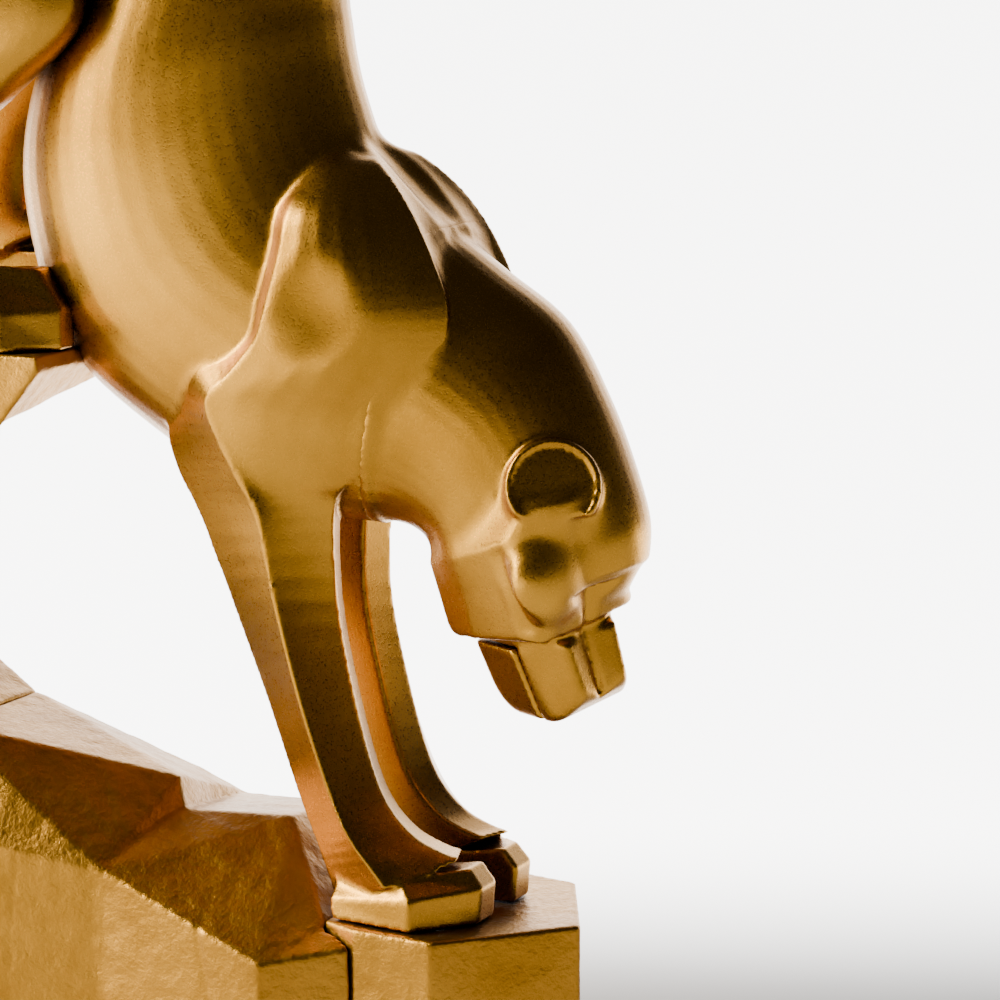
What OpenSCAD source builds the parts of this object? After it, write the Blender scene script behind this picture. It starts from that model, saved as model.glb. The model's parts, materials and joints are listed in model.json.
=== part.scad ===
// Hood ornament: a cast gilt panther climbing down a stepped rock.
// Frame: origin at the centre of the flat underside, +Z up, the panther faces +X, its right side is -Y.

/* [Rock] */
// Height of the front block, which carries the fore paws
front_step_h = 20; // [18:0.5:24]
// Height of the ledge that carries the hind paws
ledge_h = 87.5; // [75:0.5:105]
// Wall of the hollow rock castings
rock_wall = 4; // [3:0.1:4.8]
// Thickness of the base plate
plate_t = 3; // [2:0.5:4]
// Thickness of the rubber gasket under the plate
gasket_t = 1; // [0.8:0.1:2]

/* [Figure] */
// Half width of the barrel of the body
body_half_w = 14.5; // [12:0.1:17.4]
// Half width of the core that the four legs seat against
core_half_w = 9.5; // [8:0.1:11.4]
// Distance of a fore paw's centre from the middle plane
fore_paw_y = 8.5; // [7:0.5:9]
// Distance of a hind paw's centre from the middle plane
hind_paw_y = 13; // [12:0.5:14]
// Width of a paw
paw_w = 12; // [10:0.5:13]
// Turn of the head towards the right side, degrees
head_turn = 18; // [0:1:24]

/* [Fasteners] */
// Diameter of the paw studs and tie bolts
stud_d = 4; // [3:0.1:4.8]
// Diameter of the dowels and pins in the figure
dowel_d = 3; // [2:0.5:4]
// Thread diameter of the two holes that take the bonnet bolts
mount_d = 6; // [5:1:8]
// Distance between the two bonnet bolt holes
mount_pitch = 56; // [50:1:56]

/* [Fits] */
// Radial clearance of a pin, stud or bolt in its hole
fit_gap = 0.05; // [0.03:0.01:0.1]

/* [Hidden] */

$fn = 48;
gilt = "#b8862f";
steel = "#9a9a98";
sides = 24;                      // points round each loft ring
substeps = 3;                    // rings between two stations
big = 400;

rock_z = gasket_t + plate_t;     // underside of the rock castings

// Heights of the figure and the rock are drawn for these three levels, and up() moves them with the
// real ones, so the legs always reach from the paws' own level to the body.
drawn_rock_z = 4;
drawn_step = 20;
drawn_ledge = 87.5;
function between(z, a, b, a_new, b_new) = a_new + (z - a) * (b_new - a_new) / (b - a);
function up(z) =
    z <= drawn_step ? between(z, drawn_rock_z, drawn_step, rock_z, front_step_h)
    : z <= drawn_ledge ? between(z, drawn_step, drawn_ledge, front_step_h, ledge_h)
    : z + ledge_h - drawn_ledge;

washer_t = 0.8;
nut_h = 0.8 * stud_d;
nut_d = 2 * stud_d;
washer_d = nut_d + 0.5;
stud_in_paw = 5;
fore_stud_x = 54;
hind_stud_x = -12;
hind_stud_y = hind_paw_y - 1.5;

screw_d = 3;
screw_head_d = 6;
screw_head_h = 1.8;
head_gap = 0.2;                  // round a screw head in its recess
boss_d = mount_d + 6;
boss_h = 7;
tie_z = rock_z + 7;
front_seam_x = 43;
rear_seam_x = -10;

// --- lofting --------------------------------------------------------------------------------
// A station is [belly x, belly z, back x, back z, half width, squareness, turn].
// Its ring stands on the line from the belly point to the back point.
function spline(a, b, c, d, t) =
    0.5 * ((2 * b) + (c - a) * t + (2 * a - 5 * b + 4 * c - d) * t * t
    + (3 * b - a - 3 * c + d) * t * t * t);
function clamp_i(i, n) = max(0, min(n - 1, i));
function refined(st, n = substeps) = [
    for (i = [0 : len(st) - 2]) for (k = [0 : n - 1])
        spline(st[clamp_i(i - 1, len(st))], st[i], st[i + 1], st[clamp_i(i + 2, len(st))], k / n),
    st[len(st) - 1]];
function bent(v, power) = sign(v) * pow(abs(v), power);
function turned(p, angle, cx) = [
    cx + (p[0] - cx) * cos(angle) - p[1] * sin(angle),
    (p[0] - cx) * sin(angle) + p[1] * cos(angle),
    p[2]];
neck_axis_x = 64;                // the head turns about an upright line here
function ring(s, y0 = 0) = [
    for (k = [0 : sides - 1])
        let (t = 360 * k / sides, c = bent(cos(t), s[5]), w = bent(sin(t), s[5]))
        turned([(s[0] + s[2]) / 2 + (s[2] - s[0]) / 2 * c, y0 + s[4] * w,
            (up(s[1]) + up(s[3])) / 2 + (up(s[3]) - up(s[1])) / 2 * c], s[6], neck_axis_x)];

// Closed skin over a list of rings with the same number of points.
module skin(rings) {
    n = len(rings[0]);
    m = len(rings);
    polyhedron(
        points = [for (r = rings) each r],
        faces = [
            [for (k = [0 : n - 1]) k],
            for (i = [0 : m - 2]) for (k = [0 : n - 1])
                each [[i * n + k, (i + 1) * n + k, i * n + (k + 1) % n],
                    [i * n + (k + 1) % n, (i + 1) * n + k, (i + 1) * n + (k + 1) % n]],
            [for (k = [n - 1 : -1 : 0]) (m - 1) * n + k]]);
}

// Positive when the stations run the way that would turn the skin inside out.
function winding(st) =
    (st[0][3] - st[0][1]) * (st[1][0] + st[1][2] - st[0][0] - st[0][2])
    - (st[0][2] - st[0][0]) * (st[1][1] + st[1][3] - st[0][1] - st[0][3]);
function reversed(list) = [for (i = [len(list) - 1 : -1 : 0]) list[i]];
module loft(st, y0 = 0) {
    rings = [for (s = refined(st)) ring(s, y0)];
    skin(winding(st) > 0 ? reversed(rings) : rings);
}

// Prism with its outline in the XZ plane, between two Y values.
module side_prism(outline, y0, y1) {
    translate([0, y1, 0]) rotate([90, 0, 0]) linear_extrude(y1 - y0)
        polygon([for (p = outline) [p[0], up(p[1])]]);
}

module pin_y(x, z, d, y0, y1) {
    translate([x, y1, up(z)]) rotate([90, 0, 0]) cylinder(d = d, h = y1 - y0);
}

module pin_z(x, y, d, z0, z1) {
    translate([x, y, z0]) cylinder(d = d, h = z1 - z0);
}

module both_sides() {
    children();
    mirror([0, 1, 0]) children();
}

// --- the figure -----------------------------------------------------------------------------
w = body_half_w;
neck_root = [45, 67.5, 54, 103, w - 2.5, 0.9, 0];
torso_stations = [
    neck_root,
    [30, 69.5, 47, 109, w - 1, 0.9, 0],
    [14.5, 77.5, 45, 112.5, w, 0.9, 0],
    [3.5, 88, 43.5, 117, w, 0.9, 0],
    [-1.3, 105, 42.2, 121, w, 0.9, 0],
    [0.5, 119, 40.8, 128, w - 0.5, 0.9, 0],
    [4.5, 129, 38, 140, w - 2, 0.9, 0],
    [2, 134, 25, 154, w - 2.5, 0.9, 0],
    [-6, 133, 4, 161, w - 2, 0.9, 0],
    [-12, 126, -14, 158, w - 2, 0.9, 0],
    [-17, 120, -28, 147, w - 4, 0.9, 0],
    [-22, 118, -34, 134, w - 7, 0.9, 0],
    [-26, 120, -31, 126, 3, 0.9, 0]];

// Outlines of the seats that the legs fill on the body's flank.
shoulder_seat = [[20.8, 74], [22.5, 85], [33, 88.6], [35.6, 93], [37.5, 104], [40, 109], [46, 110],
    [52, 106.5], [56.5, 101], [57.8, 94], [55.5, 86], [50, 76], [42.5, 66], [30, 60]];
hip_seat = [[-34, 150], [-18, 158], [-4, 155], [6, 144], [12, 134], [12, 124], [0, 119],
    [-16, 113], [-30, 113], [-38, 130]];
shoulder_dowel_at = [[36, 80], [44, 96]];
hip_dowel_at = [[-14, 138], [-2, 134]];
dowel_depth = 6;

module torso() {
    color(gilt) difference() {
        loft(torso_stations);
        both_sides() {
            side_prism(shoulder_seat, -big / 2, -core_half_w);
            side_prism(hip_seat, -big / 2, -core_half_w);
            for (p = concat(shoulder_dowel_at, hip_dowel_at))
                pin_y(p[0], p[1], dowel_d + 2 * fit_gap, -core_half_w - 1, -core_half_w + dowel_depth);
        }
        neck_joint() neck_holes();
        tail_joint() cylinder(d = dowel_d + 2 * fit_gap, h = 12, center = true);
        translate([-100, -20, up(110)]) cube([100 + tail_root[0], 40, 60]);
    }
}

// Local frame of the neck joint: +Z runs out of the body along the neck.
neck_tilt = atan2(up(neck_root[3]) - up(neck_root[1]), neck_root[2] - neck_root[0]);
module neck_joint() {
    translate([(neck_root[0] + neck_root[2]) / 2, 0, (up(neck_root[1]) + up(neck_root[3])) / 2])
        rotate([0, 90 + (90 - neck_tilt), 0]) children();
}
neck_dowel_r = 6;
neck_dowel_len = 14;
neck_screw_len = 18;
module neck_holes() {
    for (side = [-1, 1])
        translate([0, side * neck_dowel_r, -neck_dowel_len / 2])
            cylinder(d = dowel_d + 2 * fit_gap, h = neck_dowel_len);
    translate([0, 0, -neck_screw_len / 2]) cylinder(d = stud_d + 2 * fit_gap, h = neck_screw_len);
}

head_turned = -head_turn;
head_stations = [
    neck_root,
    [50.2, 66.7, 61.5, 99.5, w - 3, 0.9, 0],
    [53.2, 64, 69.5, 93, w - 3.5, 0.9, 0.2 * head_turned],
    [53.8, 61, 76, 82.5, w - 3.5, 0.85, 0.5 * head_turned],
    [54.8, 58, 79.5, 71, w - 2.5, 0.8, 0.8 * head_turned],
    [57.5, 55.8, 81, 62, w - 3, 0.7, head_turned],
    [59.5, 54.5, 79, 58.6, w - 5.6, 0.6, head_turned],
    [61, 51.5, 77.8, 52.5, w - 6.3, 0.6, head_turned],
    [62.5, 47, 75.5, 47.5, w - 7.3, 0.6, head_turned],
    [66, 45, 72, 45.3, 5, 0.7, head_turned]];
jaw_stations = [
    [57.5, 57, 66, 57.4, 6.6, 0.6, head_turned],
    [59.2, 52, 68, 52.4, 6.8, 0.6, head_turned],
    [61.4, 47.4, 70, 47.8, 6, 0.6, head_turned],
    [64.5, 45.2, 70.5, 45.4, 4.4, 0.7, head_turned]];
module head_frame() {
    translate([neck_axis_x, 0, 0]) rotate([0, 0, head_turned]) translate([-neck_axis_x, 0, 0]) children();
}
jaw_pin_x = 61.4;
jaw_pin_len = 10;
jaw_pin_below = 4.5;             // part of the pin that sits in the jaw
ear_at = [69, 12.4, 72];
module head() {
    color(gilt) difference() {
        union() {
            loft(head_stations);
            head_frame() for (side = [-1, 1])
                translate([ear_at[0], side * ear_at[1], up(ear_at[2])]) rotate([side * 80, 0, 0])
                    cylinder(r = 6, h = 3, center = true);
        }
        neck_joint() neck_holes();
        both_sides() side_prism(shoulder_seat, -big / 2, -core_half_w);
        head_frame() jaw_seat();
    }
}
// Side outline of the lower jaw's own space, open at the throat, up to the mouth line.
jaw_top = 55.7;                  // the jaw seats against the skull at this drawn height
mouth_gap = 0.8;
function jaw_outline(gap) = [[50, jaw_top], [64 + gap, jaw_top], [70 + gap, 46], [73 + gap, 38], [50, 38]];
module jaw_seat() {
    side_prism(jaw_outline(mouth_gap), -20, 20);
    pin_z(jaw_pin_x, 0, dowel_d + 2 * fit_gap,
        up(jaw_top) - 1, up(jaw_top) + jaw_pin_len - jaw_pin_below + 0.5);
}
module lower_jaw() {
    color(gilt) difference() {
        intersection() {
            loft(jaw_stations);
            head_frame() side_prism(jaw_outline(0), -20, 20);
        }
        head_frame()
            pin_z(jaw_pin_x, 0, dowel_d + 2 * fit_gap, up(jaw_top) - jaw_pin_below - 0.5, up(jaw_top) + 5);
    }
}
module jaw_pin() {
    color(steel) head_frame()
        pin_z(jaw_pin_x, 0, dowel_d, up(jaw_top) - jaw_pin_below, up(jaw_top) - jaw_pin_below + jaw_pin_len);
}
module neck_dowels() {
    color(steel) neck_joint() for (side = [-1, 1])
        translate([0, side * neck_dowel_r, -neck_dowel_len / 2]) cylinder(d = dowel_d, h = neck_dowel_len);
}
module neck_screw() {
    color(steel) neck_joint() translate([0, 0, -neck_screw_len / 2]) cylinder(d = stud_d, h = neck_screw_len);
}

// Fore leg of the right side. Its stations lie across the leg, from the rear point to the front
// point: shoulder, elbow, shank and paw.
shoulder_half = body_half_w - fore_paw_y + 2.3;
fore_leg_stations = [
    [39, 109.5, 46, 110.5, shoulder_half - 2.7, 0.9, 0],
    [36.5, 104, 52.5, 105.5, shoulder_half - 0.7, 0.85, 0],
    [34.5, 95, 57.8, 97, shoulder_half, 0.85, 0],
    [24, 86.5, 57, 88.5, shoulder_half - 0.1, 0.8, 0],
    [20.8, 77, 49, 76, 7, 0.75, 0],
    [23, 70, 43.6, 67.5, 5.8, 0.7, 0],
    [26.5, 62, 43.2, 60, 5.4, 0.6, 0],
    [31, 51.5, 44.6, 50, 5.2, 0.6, 0],
    [35.5, 39, 47.6, 39, 5.2, 0.6, 0],
    [39.5, 29.5, 51.5, 32, 5.4, 0.6, 0],
    [41.8, 24.5, 57.5, 28.6, paw_w / 2, 0.5, 0],
    [43.2, 21.5, 62.3, 27, paw_w / 2, 0.45, 0],
    [44, drawn_step, 63, drawn_step, paw_w / 2 - 0.3, 0.45, 0]];
// What a leg gives up to the body inside the given side outline: everything inside the core, and
// everything within the body's width that lies off the seat.
skin_gap = 0.1;
module body_clearance(seat, outline) {
    difference() {
        side_prism(outline, -body_half_w - skin_gap, big / 2);
        side_prism(seat, -big / 2, -core_half_w);
    }
}
chest_side = [[-100, 66.3], [100, 66.3], [100, 240], [-100, 240]];
module foreleg() {
    difference() {
        loft(fore_leg_stations, -fore_paw_y);
        body_clearance(shoulder_seat, chest_side);
        pin_z(fore_stud_x, -fore_paw_y, stud_d + 2 * fit_gap,
            front_step_h - 1, front_step_h + stud_in_paw + 0.5);
        for (p = shoulder_dowel_at)
            pin_y(p[0], p[1], dowel_d + 2 * fit_gap, -core_half_w - 4, -core_half_w + 1);
    }
}
module right_foreleg() { color(gilt) foreleg(); }
module left_foreleg() { color(gilt) mirror([0, 1, 0]) foreleg(); }

// Hind leg of the right side: thigh, knee, shin, hock and paw.
thigh_half = body_half_w - hind_paw_y + 5.7;
hind_leg_stations = [
    [-26, 150, -9, 156, thigh_half - 2.6, 0.9, 0],
    [-34, 138, 2, 150, thigh_half - 0.6, 0.85, 0],
    [-34, 127, 10.5, 138, thigh_half, 0.8, 0],
    [-29, 118, 11.5, 127, thigh_half - 0.8, 0.75, 0],
    [-26.5, 112, 3, 118.5, 5.4, 0.7, 0],
    [-26, 106, -6.5, 110.5, 4.8, 0.65, 0],
    [-25.5, 99, -9, 101.5, 4.6, 0.6, 0],
    [-20, 93, -4, 98.5, 4.8, 0.5, 0],
    [-17, 89.5, 5, 96, paw_w / 2 - 1, 0.45, 0],
    [-16, drawn_ledge, 7, drawn_ledge, paw_w / 2 - 1.2, 0.45, 0]];
loin_side = [[-100, 110], [-12, 110], [-9, 98], [100, 98], [100, 240], [-100, 240]];
// Room for the chest, hollowed out of the hind paws and of the ledge's front edge.
chest_r = body_half_w + 2.5;
chest_x = 1 + chest_r;
module chest_room(z0, z1) { pin_z(chest_x, 0, 2 * chest_r, z0, z1); }
module hind_leg() {
    difference() {
        loft(hind_leg_stations, -hind_paw_y);
        chest_room(ledge_h - 1, up(105));
        body_clearance(hip_seat, loin_side);
        pin_z(hind_stud_x, -hind_stud_y, stud_d + 2 * fit_gap, ledge_h - 1, ledge_h + stud_in_paw + 0.5);
        for (p = hip_dowel_at)
            pin_y(p[0], p[1], dowel_d + 2 * fit_gap, -core_half_w - 4, -core_half_w + 1);
    }
}
module right_hind_leg() { color(gilt) hind_leg(); }
module left_hind_leg() { color(gilt) mirror([0, 1, 0]) hind_leg(); }

// The tail hangs behind the rump and lies along the rear rock.
tail_root = [-31.5, 127];
tail_stations = [
    [-31, 123, -31, 131, 3.8, 0.9, 0],
    [-37, 122.5, -39, 130, 3.6, 0.9, 0],
    [-42, 117, -48, 121, 3.4, 0.9, 0],
    [-45, 104, -51.5, 105, 3.2, 0.9, 0],
    [-48.5, 91, -54.5, 90, 3.1, 0.9, 0],
    [-53, 80.5, -58, 77, 3, 0.9, 0],
    [-61, 75.8, -62.5, 70, 2.9, 0.9, 0],
    [-67.5, 77.5, -71, 73.5, 2.6, 0.9, 0],
    [-68.5, 81, -73, 81.5, 2, 0.9, 0]];
module tail_joint() {
    translate([tail_root[0], 0, up(tail_root[1])]) rotate([0, 90, 0]) children();
}
module tail() {
    color(gilt) difference() {
        loft(tail_stations);
        translate([tail_root[0], -30, up(100)]) cube(60);
        tail_joint() cylinder(d = dowel_d + 2 * fit_gap, h = 12, center = true);
    }
}
module tail_pin() { color(steel) tail_joint() cylinder(d = dowel_d, h = 11.8, center = true); }

module shoulder_dowels() {
    color(steel) both_sides() for (p = shoulder_dowel_at)
        pin_y(p[0], p[1], dowel_d, -core_half_w - 4, -core_half_w + dowel_depth);
}
module hip_dowels() {
    color(steel) both_sides() for (p = hip_dowel_at)
        pin_y(p[0], p[1], dowel_d, -core_half_w - 4, -core_half_w + dowel_depth);
}

// --- studs, washers and nuts ----------------------------------------------------------------
module at_studs(x, y, z) { for (side = [-1, 1]) translate([x, side * y, z]) children(); }
stud_below = washer_t + nut_h + 1.5;
module studs(x, y, top) {
    at_studs(x, y, top - rock_wall - stud_below) cylinder(d = stud_d, h = rock_wall + stud_below + stud_in_paw);
}
module washers(x, y, top) {
    at_studs(x, y, top - rock_wall - washer_t) difference() {
        cylinder(d = washer_d, h = washer_t);
        translate([0, 0, -1]) cylinder(d = stud_d + 2 * fit_gap, h = washer_t + 2);
    }
}
module nuts(x, y, top) {
    at_studs(x, y, top - rock_wall - washer_t - nut_h) difference() {
        cylinder(d = nut_d, h = nut_h, $fn = 6);
        translate([0, 0, -1]) cylinder(d = stud_d + 2 * fit_gap, h = nut_h + 2, $fn = 48);
    }
}
module fore_paw_studs() { color(steel) studs(fore_stud_x, fore_paw_y, front_step_h); }
module fore_paw_washers() { color(steel) washers(fore_stud_x, fore_paw_y, front_step_h); }
module fore_paw_nuts() { color(steel) nuts(fore_stud_x, fore_paw_y, front_step_h); }
module hind_paw_studs() { color(steel) studs(hind_stud_x, hind_stud_y, ledge_h); }
module hind_paw_washers() { color(steel) washers(hind_stud_x, hind_stud_y, ledge_h); }
module hind_paw_nuts() { color(steel) nuts(hind_stud_x, hind_stud_y, ledge_h); }

// --- the rock -------------------------------------------------------------------------------
front_plan = [[front_seam_x, -12.5], [48, -15], [59, -16.5], [72.5, -2.5], [64, 16], [50, 19],
    [front_seam_x, 14]];
front_hollow_y = fore_paw_y + washer_d / 2 + 0.4;
front_hollow = [[front_seam_x + rock_wall, -front_hollow_y + 0.4], [58, -front_hollow_y - 0.2], [67, -2.5],
    [60.5, front_hollow_y - 0.6], [50, front_hollow_y + 1.2], [front_seam_x + rock_wall, front_hollow_y - 1.2]];
// Two stud holes through the top wall of a rock.
module stud_holes(x, y, top) {
    at_studs(x, y, top - rock_wall - 1) cylinder(d = stud_d + 2 * fit_gap, h = rock_wall + 2);
}
module front_rock() {
    color(gilt) difference() {
        translate([0, 0, rock_z]) linear_extrude(front_step_h - rock_z) polygon(front_plan);
        translate([0, 0, rock_z - 1]) linear_extrude(front_step_h - rock_wall - rock_z + 1) polygon(front_hollow);
        stud_holes(fore_stud_x, fore_paw_y, front_step_h);
        tie_hole(front_seam_x);
        screw_holes();
    }
}

// A convex block through its corner points.
module facets(points) {
    hull() polyhedron(
        [for (p = points) [p[0], p[1], up(p[2])]],
        [for (i = [0 : len(points) - 3]) [i, i + 1, i + 2]]);
}
// A pocket open at the bottom of a rock, between two X values.
module hollow(x0, x1, right_y, left_y, top) {
    translate([x0, -right_y, 0]) cube([x1 - x0, right_y + left_y, top]);
}
hind_hollow_y = hind_stud_y + washer_d / 2 + 0.25;
module screw_holes() {
    for (p = screw_at) pin_z(p[0], p[1], screw_d + 2 * fit_gap, 0, rock_z + screw_in_rock);
}
module tie_hole(x) {
    translate([x - 20, 0, tie_z]) rotate([0, 90, 0]) cylinder(d = stud_d + 2 * fit_gap, h = 40);
}
module middle_rock() {
    color(gilt) difference() {
        union() {
            facets([[rear_seam_x, -12, 40], [rear_seam_x, 10, 42], [17.6, -2, 33], [19.5, 14, 32],
                [rear_seam_x, -19, 27.5], [13, -18.5, 24], [rear_seam_x, 19, 30], [16, 19, 26],
                [rear_seam_x, -19, drawn_rock_z], [13, -18.5, drawn_rock_z], [19.5, -4, 29],
                [22, 19, drawn_rock_z], [22, -10, drawn_rock_z], [rear_seam_x, 19, drawn_rock_z]]);
            facets([[13, -18.5, 24], [18, -4, 29.3], [33.5, -2, 29.5], [34, 12, 28], [38, -20, 15.8],
                [front_seam_x, -12.5, 19.5], [front_seam_x, 12, 19.5], [34, 18, 20], [16, 19, 26],
                [13, -18.5, drawn_rock_z], [38, -20, drawn_rock_z], [front_seam_x, -12.5, drawn_rock_z],
                [front_seam_x, 14, drawn_rock_z], [16, 19, drawn_rock_z]]);
            facets([[38, -20, 15.8], [front_seam_x - 1, -12.5, 19.5], [47.9, -15.1, 17.6],
                [38, -20, drawn_rock_z], [front_seam_x - 1, -12.6, drawn_rock_z],
                [47.9, -15.1, drawn_rock_z]]);
        }
        hollow(rear_seam_x + rock_wall, rear_seam_x + rock_wall + 22, 14, 11.5, up(21));
        hollow(rear_seam_x + rock_wall, front_seam_x - rock_wall, 10, 10, up(16));
        screw_holes();
        tie_hole(front_seam_x);
        tie_hole(rear_seam_x);
    }
}

// The ledge gets deeper when its wall or the nuts under the hind paws get thicker.
nut_drop = rock_wall - 4 + stud_below - 5.5;
nut_room_h = stud_below + 0.4;
waist_x = 20;                    // the waist under the ledge starts this far back
module rear_rock() {
    color(gilt) difference() {
        union() {
            facets([[rear_seam_x, -19, drawn_rock_z], [rear_seam_x, -19, 27.5], [rear_seam_x, 19, drawn_rock_z],
                [rear_seam_x, 19, 30], [rear_seam_x, -12, 40], [rear_seam_x, 10, 42],
                [-64, -19, drawn_rock_z], [-72.5, 3, drawn_rock_z], [-66, 18, drawn_rock_z],
                [-61, -18.5, 33], [-68, 2, 36], [-63, 16.5, 34],
                [-28, -19, 44], [-28, 18.5, 46]]);
            facets([[-14, -17, 43], [-20, 16, 45], [-17, -16, 28], [-20, 15, 28], [-58, -16, 28], [-65, 2, 31],
                [-60, 14, 30], [-14, -18.6, 62], [-19, 17.4, 63], [-55, -17, 66], [-60, 2, 69], [-56, 15, 67]]);
            facets([[-16, -18, 57], [-20, 17, 57], [2.5, -18.2, 79 - nut_drop], [-3, 17.6, 80 - nut_drop],
                [-14, 17.4, 74 - nut_drop],
                [7.8, -18.5, drawn_ledge - 2], [7.5, 18.5, drawn_ledge - 2], [7.8, -18.5, drawn_ledge],
                [7.5, 18.5, drawn_ledge], [-44, -18, drawn_ledge], [-46, 16.5, drawn_ledge],
                [-50, -16.4, 62], [-52, 2, 64], [-50, 14.5, 62]]);
        }
        hollow(-46, -waist_x - rock_wall, 15, 15, up(76));
        hollow(-40, -waist_x - rock_wall, 15, 15, ledge_h - rock_wall);
        translate([-40, -hind_hollow_y, ledge_h - rock_wall - nut_room_h])
            cube([40 + hind_stud_x + nut_d / 2 + 1, 2 * hind_hollow_y, nut_room_h]);
        hollow(-58, -44, 14, 14, up(29));
        hollow(-46, rear_seam_x - rock_wall, 14, 14, up(25));
        stud_holes(hind_stud_x, hind_stud_y, ledge_h);
        tie_hole(rear_seam_x);
        screw_holes();
        chest_room(up(76), ledge_h + 1);
    }
}

tie_len = 2 * rock_wall + nut_h + 2;
module rock_tie_bolts() {
    color(steel) for (x = [front_seam_x, rear_seam_x])
        translate([x + rock_wall, 0, tie_z]) rotate([0, -90, 0]) {
            cylinder(d = stud_d, h = tie_len);
            translate([0, 0, -nut_h]) cylinder(d = nut_d, h = nut_h, $fn = 6);
        }
}
module rock_tie_nuts() {
    color(steel) for (x = [front_seam_x, rear_seam_x])
        translate([x - rock_wall, 0, tie_z]) rotate([0, -90, 0]) difference() {
            cylinder(d = nut_d, h = nut_h, $fn = 6);
            translate([0, 0, -1]) cylinder(d = stud_d + 2 * fit_gap, h = nut_h + 2, $fn = 48);
        }
}

// --- base -----------------------------------------------------------------------------------
base_plan = [[-63, -18], [38, -19], [48, -15], [58.5, -15.5], [71.5, -2.5], [63.4, 15], [50, 18], [16, 18],
    [-65, 17], [-71.5, 3]];
screw_at = [[-60.5, -14.5], [-60.5, 13.5], [34, -15], [45, 11.5], [8, 14.5]];
screw_in_rock = 5;
mount_x = [-mount_pitch / 2, mount_pitch / 2];
module base_plate() {
    color(steel) difference() {
        translate([0, 0, gasket_t]) linear_extrude(plate_t) polygon(base_plan);
        for (p = screw_at) translate([p[0], p[1], 0]) {
            cylinder(d = screw_d + 2 * fit_gap, h = 20);
            cylinder(d = screw_head_d + 2 * head_gap, h = gasket_t + screw_head_h);
        }
        for (x = mount_x) pin_z(x, 0, boss_d, 0, 20);
    }
}
module base_plate_screws() {
    color(steel) for (p = screw_at) translate([p[0], p[1], gasket_t]) {
        cylinder(d = screw_d, h = plate_t + screw_in_rock - 0.5);
        cylinder(d = screw_head_d, h = screw_head_h);
    }
}
module mounting_bosses() {
    color(steel) for (x = mount_x) translate([x, 0, gasket_t]) difference() {
        cylinder(d = boss_d, h = boss_h);
        translate([0, 0, -1]) cylinder(d = mount_d, h = boss_h + 2);
    }
}
module base_gasket() {
    color("#222222") difference() {
        linear_extrude(gasket_t) polygon(base_plan);
        for (p = screw_at) pin_z(p[0], p[1], screw_head_d + 2 * head_gap, -1, gasket_t + 1);
        for (x = mount_x) pin_z(x, 0, mount_d + 3, -1, gasket_t + 1);
    }
}

torso();
head();
lower_jaw();
jaw_pin();
neck_dowels();
neck_screw();
right_foreleg();
left_foreleg();
right_hind_leg();
left_hind_leg();
tail();
shoulder_dowels();
hip_dowels();
tail_pin();
fore_paw_studs();
fore_paw_washers();
fore_paw_nuts();
hind_paw_studs();
hind_paw_washers();
hind_paw_nuts();
front_rock();
middle_rock();
rear_rock();
rock_tie_bolts();
rock_tie_nuts();
base_plate();
base_plate_screws();
mounting_bosses();
base_gasket();
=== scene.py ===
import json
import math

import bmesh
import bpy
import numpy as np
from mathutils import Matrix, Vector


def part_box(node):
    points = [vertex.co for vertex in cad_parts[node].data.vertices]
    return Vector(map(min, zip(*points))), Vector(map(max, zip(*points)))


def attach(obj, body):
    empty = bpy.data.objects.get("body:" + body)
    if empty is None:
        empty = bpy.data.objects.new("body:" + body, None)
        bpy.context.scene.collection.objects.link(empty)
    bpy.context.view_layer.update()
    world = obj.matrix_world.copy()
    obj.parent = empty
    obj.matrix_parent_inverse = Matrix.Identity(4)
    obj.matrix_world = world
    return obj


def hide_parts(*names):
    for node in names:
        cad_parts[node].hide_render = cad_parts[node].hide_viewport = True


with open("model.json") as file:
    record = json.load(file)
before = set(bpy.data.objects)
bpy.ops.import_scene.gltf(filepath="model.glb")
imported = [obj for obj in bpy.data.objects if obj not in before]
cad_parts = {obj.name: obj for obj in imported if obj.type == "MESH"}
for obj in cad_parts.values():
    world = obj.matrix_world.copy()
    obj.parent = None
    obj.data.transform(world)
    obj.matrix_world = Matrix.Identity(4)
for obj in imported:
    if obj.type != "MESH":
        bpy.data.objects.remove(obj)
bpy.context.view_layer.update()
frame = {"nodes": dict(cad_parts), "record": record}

# Gilt hood ornament: a faceted panther climbing down a stepped rock.
#
# Each casting is modelled in clay first. Clay is a signed distance field in millimetres on a fine grid:
# lofted masses are joined, blended and cut there, and the result is meshed and gilded.
# Frame: +Z up, the panther faces +X, its right side is -Y.

import openvdb
from mathutils import Vector

MM = 0.001
FINE_GRIT = 0.35       # clay grid of the head and the fore legs, mm
COARSE_GRIT = 0.45     # clay grid of the body and the hind legs, mm
ROCK_GRIT = 0.4        # clay grid of the rocks, mm
BAND = 14              # grid steps on each side of a surface that hold true distances


def top_mm(node):
    """Height of a node's top above the base's underside, mm."""
    return round(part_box(node)[1][2] / MM, 2)


FOOT = top_mm("base_plate")        # what the rocks stand on
STEP_Z = top_mm("front_rock")      # where the fore paws stand
LEDGE_Z = top_mm("rear_rock")      # where the hind paws stand
CORE_Y = 9.5                       # half width of the core that the legs seat against


# --- clay -----------------------------------------------------------------------------------

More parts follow.
